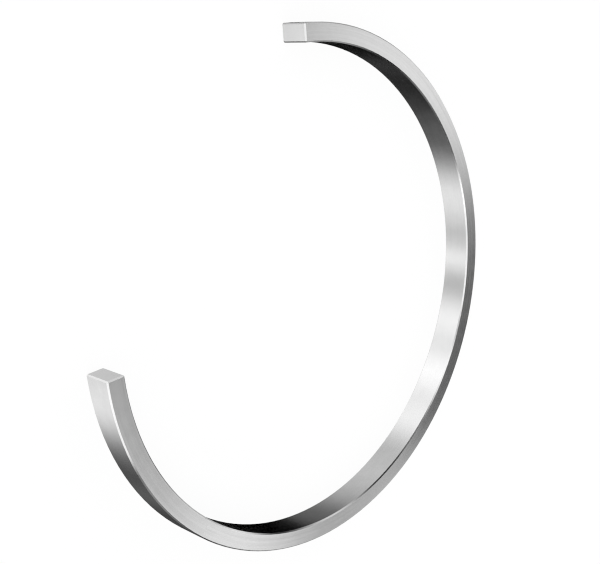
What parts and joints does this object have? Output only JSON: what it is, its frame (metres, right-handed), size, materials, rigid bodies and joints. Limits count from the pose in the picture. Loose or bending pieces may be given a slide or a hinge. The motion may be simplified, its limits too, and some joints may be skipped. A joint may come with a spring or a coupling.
{
  "type": "bearing locating ring",
  "caption": "Open flat steel ring of solid rectangular section with square-cut ends, laid beside a bearing in its housing seat to take up the side gap.",
  "frame": {"origin": "on the ring's axis, halfway between its two side faces", "axes": "+Z along the ring's axis, square to both side faces; the opening between the two ends is centred on +Y; +X to the right of it"},
  "size_m": [0.17, 0.1443, 0.01],
  "materials": {
    "steel": "fine turned"
  },
  "bodies": {
    "root": {"locating_ring": "steel"}
  },
  "joints": []
}
